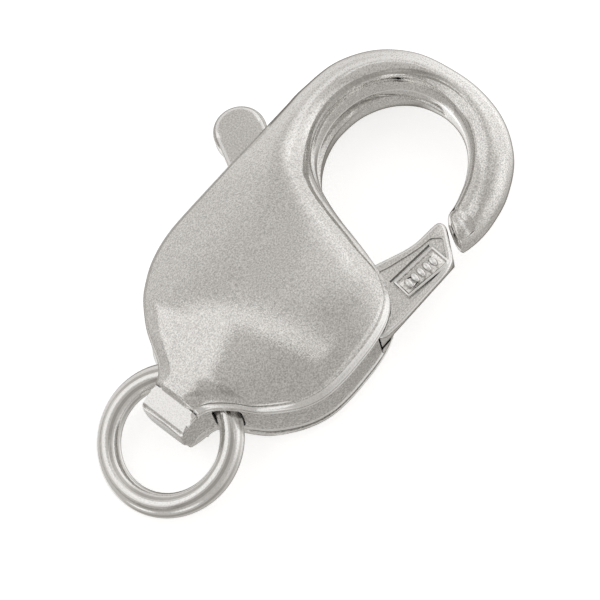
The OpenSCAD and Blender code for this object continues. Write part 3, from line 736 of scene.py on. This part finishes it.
gate_outline = [gate_point(a, b) for a, b in GATE_ROWS]
pocket_low, pocket_high = MID_Z - POCKET_H / 2, MID_Z + POCKET_H / 2
slot_side = arm_side * (ARM_HALF + LEVER_GAP)
slot_end = KNOB + arm_way * 2  # well outside the body
arm_slot = [PIVOT + slot_side, slot_end + slot_side, turned(slot_end - slot_side, SWING),
            turned(PIVOT - slot_side, SWING)]
combine(body, prism("cut_arm", arm_slot, pocket_low, pocket_high), "DIFFERENCE")
g = LEVER_GAP
lower = [gate_outline[k] + Vector((-g, -g)) for k in (7, 8, 9)] + [gate_outline[10] + Vector((g, -g))]
upper = [turned(gate_outline[k] + Vector((-g * 0.3, g)), SWING) for k in (3, 4, 5, 6)]
combine(body, prism("cut_gate", lower + upper, pocket_low, pocket_high), "DIFFERENCE")

# Hollow belly behind the slots
bail_end = -TAIL_LEN + BAR_LEN + BAIL_LEN
chamber_from, chamber_to = bail_end + WALL, from_eye(160, EYE_R).x
kept = [section(i + k / 3) for i in range(LAST) for k in range(3)]
kept = [s for s in kept if chamber_from < s.outer_x < chamber_to and s.inner_y < s.outer_y]
outline = [s.outer + (s.inner - s.outer).normalized() * WALL for s in kept]
outline += [s.inner + (s.outer - s.inner).normalized() * WALL for s in reversed(kept)]
combine(body, prism("cut_chamber", outline, pocket_low, pocket_high), "DIFFERENCE")

# Bail hole between two arcs that follow the ring, with rounded corners
HOLE_CORNER = ((1.0, 0.0), (0.5, 0.134), (0.134, 0.5), (0.0, 1.0))  # shares of BAIL_SLANT, inwards and up
HOLE_HALF, HOLE_N = 2.6, 40  # half the width of the cut, and steps along an arc
out_r, in_r = RING_R + WIRE_R + BAIL_SIDE, RING_R - WIRE_R - RING_GAP
out_x, in_x = bail_end - out_r, bail_end - BAIL_LEN - in_r
hole_left = bail_end - 2 * BAR_LEN
hole_z = MID_Z + BAIL_RISE - BAIL_H / 2
levels = [(d * BAIL_SLANT, up * BAIL_SLANT) for d, up in HOLE_CORNER]
levels += [(d, BAIL_H - up) for d, up in reversed(levels)]
hole_rings = []
for d, up in levels:
    outer_arc, inner_arc = [], []
    for k in range(HOLE_N + 1):
        y = HOLE_HALF * (1 - 2 * k / HOLE_N)
        outer_arc.append(Vector((out_x + math.sqrt((out_r - d) ** 2 - y * y), RING_Y + y, hole_z + up)))
        x = in_x + math.sqrt((in_r + d) ** 2 - y * y) if abs(y) < in_r + d else hole_left
        inner_arc.append(Vector((max(x, hole_left), RING_Y - y, hole_z + up)))
    hole_rings.append(outer_arc + inner_arc)
combine(body, loft("cut_bail", hole_rings), "DIFFERENCE")
smooth_by_angle(body, SMOOTH_EDGE)

# The fold's slope gets a painted highlight (burnished), the strap's end face painted shade, and the hole's
# walls a matt grey that paints light into the hole
for p in body.data.polygons:
    c = p.center / MM
    if c.x < FOLD_X and p.normal.x < -0.3 and p.normal.z > 0.7:
        p.material_index = BURNISHED_HIGHLIGHT
    if c.x < -TAIL_LEN + 0.2 and p.normal.x < -0.9:
        p.material_index = SHADED
    in_hole = abs(c.z - MID_Z - BAIL_RISE) < BAIL_H / 2 and -TAIL_LEN + 0.3 < c.x < bail_end + 0.05
    to_arc = Vector((out_x - c.x, RING_Y - c.y))
    across = p.normal.xy.length
    facing = to_arc.normalized().dot(p.normal.xy) / across if across > 0.1 and to_arc.length > 1 else 0
    on_arc = facing > 0.8 and out_r - 0.4 < to_arc.length < out_r + 0.05
    if in_hole and p.normal.z < 0.5 and (p.normal.x > 0.3 or on_arc):
        p.material_index = HOLE_PAINTED_LIGHT

# ------------------------------------------------------------------ gate lever
GATE_CORNER, FIELD_CORNER, PANEL_CORNER = 0.30, 0.12, 0.08  # reach of the rounded corners
LEAN_PAST, CUT_PAST = 1.7, 0.3  # run of the leaning cut past the gate's two ends and below it
CREASE_DROP = 0.12  # below the sunk field
CREASE_ROWS = ((-1.20, 0.56), (1.05, 0.60), (1.12, 0.72), (-1.20, 0.66))
lever_low, lever_high = MID_Z - LEVER_T / 2, MID_Z + LEVER_T / 2
field_z = lever_high - FIELD_DROP

lever = rounded_plate("lever_arm", rounded(gate_outline, GATE_CORNER), lever_low, lever_high)

# The gate's lower side leans in under its top edge
a, b = gate_outline[9], gate_outline[10]
along = (b - a).normalized()
inward = Vector((-along.y, along.x))
start, run = a - along * LEAN_PAST, (b - a) + along * (2 * LEAN_PAST)
outside = start - inward * 2
inside = start + inward * (LEVER_T - EDGE_R) * math.tan(GATE_LEAN)
cut_low, cut_high = lever_low - CUT_PAST, lever_high - EDGE_R
under = [Vector((*outside, cut_low)), Vector((*inside, cut_low)), Vector((*inside, lever_low)),
         Vector((*start, cut_high)), Vector((*outside, cut_high))]
over = [v + Vector((*run, 0)) for v in under]
combine(lever, loft("cut_lean", [under, over]), "DIFFERENCE")

field = rounded([gate_point(a, b) for a, b in FIELD_ROWS], FIELD_CORNER)
combine(lever, prism("cut_field", field, field_z, lever_high + 1), "DIFFERENCE")

PANEL_AT = gate_point(0.302, 0.93)
PANEL_TURN = math.radians(-8)


def on_panel(x, y):
    """Point in the panel's own directions, from its middle."""
    c, s = math.cos(PANEL_TURN), math.sin(PANEL_TURN)
    return PANEL_AT + Vector((x * c - y * s, x * s + y * c))


crease = [on_panel(x, y) for x, y in CREASE_ROWS]
combine(lever, prism("cut_crease", crease, field_z - CREASE_DROP, lever_high + 1), "DIFFERENCE")
half_arm = arm_side * ARM_HALF
arm = [PIVOT + half_arm, KNOB + half_arm, KNOB - half_arm, PIVOT - half_arm]
combine(lever, rounded_plate("add_arm", arm, lever_low, lever_high), "UNION")
combine(lever, lathe("add_hub", [(HUB_R, lever_low), (HUB_R, lever_high)], PIVOT), "UNION")
knob_profile = []
for start_angle, height in ((-90, lever_low + KNOB_ROUND), (0, lever_high - KNOB_ROUND)):
    for k in range(ARC_N + 1):
        t = math.radians(start_angle + 90 * k / ARC_N)
        knob_profile.append((KNOB_R - KNOB_ROUND + KNOB_ROUND * math.cos(t),
                             height + KNOB_ROUND * math.sin(t)))
combine(lever, lathe("add_knob", knob_profile, KNOB), "UNION")
bore = [(PIN_R + PIN_FIT, lever_low - 1), (PIN_R + PIN_FIT, lever_high + 1)]
combine(lever, lathe("cut_bore", bore, PIVOT), "DIFFERENCE")
smooth_by_angle(lever, SMOOTH_EDGE)

# Raised panel with a rounded rim, and plain domed pips
PANEL_ROWS = [(-0.50, 0.46), (-0.50, -0.46), (0.44, -0.54), (0.51, -0.42), (0.49, 0.50)]
PANEL_STEPS = [  # distance inwards, height over the sunk field
    (-0.02, -0.03), (-0.01, 0.08), (0.01, 0.13), (0.04, 0.16), (0.07, 0.16), (0.10, 0.13), (0.13, 0.06),
    (0.17, 0.02)]
PIPS, PIP_STRETCH = 5, 1.7
PIP_PROFILE = [(0.135, 0.01), (0.13, 0.08), (0.11, 0.12), (0.07, 0.135), (0.01, 0.14)]
panel_outline = rounded([on_panel(a * PANEL_LEN, b * PANEL_W) for a, b in PANEL_ROWS], PANEL_CORNER)
panel = stacked("gate_panel", panel_outline, [(d, field_z + up) for d, up in PANEL_STEPS])
smooth_by_angle(panel, SMOOTH_EDGE)
pips = []
for k in range(PIPS):
    x = (k - (PIPS - 1) / 2) * (PANEL_LEN - PIPS * PANEL_RIM) / PIPS
    pip = lathe("gate_pip_%d" % k, [(r, field_z + up) for r, up in PIP_PROFILE], (0, 0), 24)
    for v in pip.data.vertices:
        p = on_panel(x + v.co.x / MM, v.co.y / MM * PIP_STRETCH)
        v.co.x, v.co.y = p.x * MM, p.y * MM
    smooth_by_angle(pip, 60)
    pips.append(pip)

# ------------------------------------------------------------------ jump ring
RING_N, WIRE_N = 144, 96  # steps along the ring and round its wire
FLUTES, FLUTE_TURN, FLUTE_DEPTH = 8, 0.4, 0.010  # drawn lines along the wire, their depth as a share


def flute(b):
    return math.cos(FLUTES * b + FLUTE_TURN)


hang = Vector((bail_end - WIRE_R - RING_GAP, RING_Y, MID_Z + BAIL_RISE + BAIL_H / 2 - WIRE_R - RING_LIFT))
pitch = math.asin((hang.z - WIRE_R) / (2 * RING_R))
slope = Vector((-math.cos(pitch), 0, -math.sin(pitch)))
side = Vector((0, 1, 0))
normal = slope.cross(side).normalized()
mid = hang + slope * RING_R
verts, faces = [], []
for j in range(RING_N):
    a = 2 * math.pi * j / RING_N
    out = slope * math.cos(a) + side * math.sin(a)
    for k in range(WIRE_N):
        b = 2 * math.pi * k / WIRE_N
        r = WIRE_R * (1 - FLUTE_DEPTH + FLUTE_DEPTH * flute(b))
        verts.append(mid + out * (RING_R + r * math.cos(b)) + normal * (r * math.sin(b)))
        j2, k2 = (j + 1) % RING_N, (k + 1) % WIRE_N
        faces.append((j * WIRE_N + k, j2 * WIRE_N + k, j2 * WIRE_N + k2, j * WIRE_N + k2))
ring = new_solid("ring_wire", verts, faces)
smooth_by_angle(ring, 60)


# ------------------------------------------------------------------ bodies, nodes and the other metals
def attach(ob, body_name):
    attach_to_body(ob, body_name)


attach(body, "clasp")
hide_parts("body")

# The lever's flats are stamped; its rounded edges get a painted highlight above and painted shade below
set_metals(lever, (gate_metal, burnished_highlight, shaded))
attach(lever, "lever")
for p in lever.data.polygons:
    c, up = p.center / MM, p.normal.z
    steep = 0.78 if (c.xy - KNOB).length < KNOB_R + 0.1 else 0.55
    if c.z > lever_high - 0.4 and up > 0.1:
        p.material_index = 2 if up < steep else 1 if up < 0.97 else 0
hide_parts("gate_lever")

for ob in [panel] + pips:
    set_metals(ob, (gate_metal, burnished_highlight))
    attach(ob, "lever")
    # Painted highlight on the tops of the panel's rim and of the pips
    for p in ob.data.polygons:
        if p.center.z / MM > field_z + 0.10:
            p.material_index = 1

# The ring gets a painted highlight along its ridges and painted shade along the drawn lines between them
set_metals(ring, (bright, burnished_highlight, wire_line_shade))
attach(ring, "ring")
for p in ring.data.polygons:
    height = flute(2 * math.pi * (p.index % WIRE_N + 0.5) / WIRE_N)
    if height > 0.55:
        p.material_index = 1
    elif height < -0.45:
        p.material_index = 2
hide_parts("jump_ring")

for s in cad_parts["pivot_pin"].material_slots:
    s.material = pin_metal

# ------------------------------------------------------------------ floor
FLOOR_HALF = 400
corners = [(x * FLOOR_HALF, y * FLOOR_HALF, 0) for x, y in ((-1, -1), (1, -1), (1, 1), (-1, 1))]
floor = new_object("floor", corners, [(0, 1, 2, 3)])
floor_mat = bpy.data.materials.new("pale_floor")
floor_mat.use_nodes = True
paint = floor_mat.node_tree.nodes["Principled BSDF"]
paint.inputs["Base Color"].default_value = (0.93, 0.93, 0.93, 1)
paint.inputs["Roughness"].default_value = 0.9
paint.inputs["Emission Color"].default_value = (1, 1, 1, 1)
paint.inputs["Emission Strength"].default_value = 0.58
floor.data.materials.append(floor_mat)
floor.visible_glossy = False

# ------------------------------------------------------------------ camera at the photograph's angle
AIM = Vector((0.9, -1.07, 2.0)) * MM
DISTANCE, LENS, SENSOR = 0.1, 144, 36
TILT, LEAN = math.radians(25), math.radians(18)  # from overhead, and the tilt's own direction
TURN = math.radians(50)  # of the clasp in the picture
back = Vector((math.sin(TILT) * math.sin(LEAN), -math.sin(TILT) * math.cos(LEAN), math.cos(TILT)))
right = Vector((0, 1, 0)).cross(back).normalized()
up = back.cross(right)
turn = Matrix.Rotation(-TURN, 3, "Z")
cam_data = bpy.data.cameras.new("camera")
cam_data.lens = LENS
cam_data.sensor_width = SENSOR
cam_data.clip_start = 0.001
cam_data.clip_end = 10
cam = bpy.data.objects.new("camera", cam_data)
bpy.context.scene.collection.objects.link(cam)
pose = Matrix((turn @ right, turn @ up, turn @ back)).transposed().to_4x4()
pose.translation = AIM + turn @ back * DISTANCE
cam.matrix_world = pose
bpy.context.scene.camera = cam


# ------------------------------------------------------------------ lights
def area(name, where, size, degrees, radiance):
    """Flat light that faces down, turned by so many degrees about the vertical."""
    data = bpy.data.lights.new(name, "AREA")
    data.shape = "RECTANGLE"
    data.size, data.size_y = size[0] * MM, size[1] * MM
    data.energy = radiance * math.pi * data.size * data.size_y
    ob = bpy.data.objects.new(name, data)
    bpy.context.scene.collection.objects.link(ob)
    ob.location = Vector(where) * MM
    ob.rotation_euler = (0, 0, math.radians(degrees))


area("overhead_box", (-318, 336, 300), (650, 520), 110, 0.29)
area("overhead_strip", (43, -3, 300), (250, 24), -83, 0.30)

# Soft studio tent: an even grey with a few soft panels, brighter or darker than it. Columns: azimuth,
# elevation, full and fading radius, all in degrees, and brightness.
TENT_GREY = (0.490, 0.474, 0.454, 1)
PANELS = [
    (-15, 8, 22, 68, 0.38), (10, 57, 6, 24, 0.20), (90, 30, 35, 75, 0.11), (80, 5, 20, 50, 0.09),
    (110, -50, 12, 28, 0.70), (-65, 0, 15, 45, 0.16), (10, -32, 15, 40, 0.18), (58, -65, 14, 40, -0.30),
    (174, -3, 5, 15, 0.50), (215, 6, 6, 18, 0.40), (178, 32, 8, 20, -0.14)]
world = bpy.data.worlds.new("studio")
bpy.context.scene.world = world
world.use_nodes = True
nodes, link = world.node_tree.nodes, world.node_tree.links.new
nodes.clear()
background = nodes.new("ShaderNodeBackground")
link(background.outputs[0], nodes.new("ShaderNodeOutputWorld").inputs[0])
sight = nodes.new("ShaderNodeTexCoord").outputs["Generated"]
total = None
for azimuth, elevation, full, fading, amount in PANELS:
    az, el = math.radians(azimuth), math.radians(elevation)
    near = nodes.new("ShaderNodeVectorMath")
    near.operation = "DOT_PRODUCT"
    near.inputs[1].default_value = (math.cos(el) * math.cos(az), math.cos(el) * math.sin(az), math.sin(el))
    link(sight, near.inputs[0])
    ramp = nodes.new("ShaderNodeMapRange")
    ramp.interpolation_type = "SMOOTHSTEP"
    ramp.inputs["From Min"].default_value = math.cos(math.radians(fading))
    ramp.inputs["From Max"].default_value = math.cos(math.radians(full))
    ramp.inputs["To Max"].default_value = amount
    link(near.outputs["Value"], ramp.inputs["Value"])
    if total is None:
        total = ramp.outputs["Result"]
    else:
        add = nodes.new("ShaderNodeMath")
        link(total, add.inputs[0])
        link(ramp.outputs["Result"], add.inputs[1])
        total = add.outputs[0]
tent = nodes.new("ShaderNodeMix")
tent.data_type = "RGBA"
tent.blend_type = "ADD"
tent.inputs["Factor"].default_value = 1.0
tent.inputs["A"].default_value = TENT_GREY
link(total, tent.inputs["B"])
link(tent.outputs["Result"], background.inputs[0])
bpy.context.scene.view_settings.view_transform = "Standard"
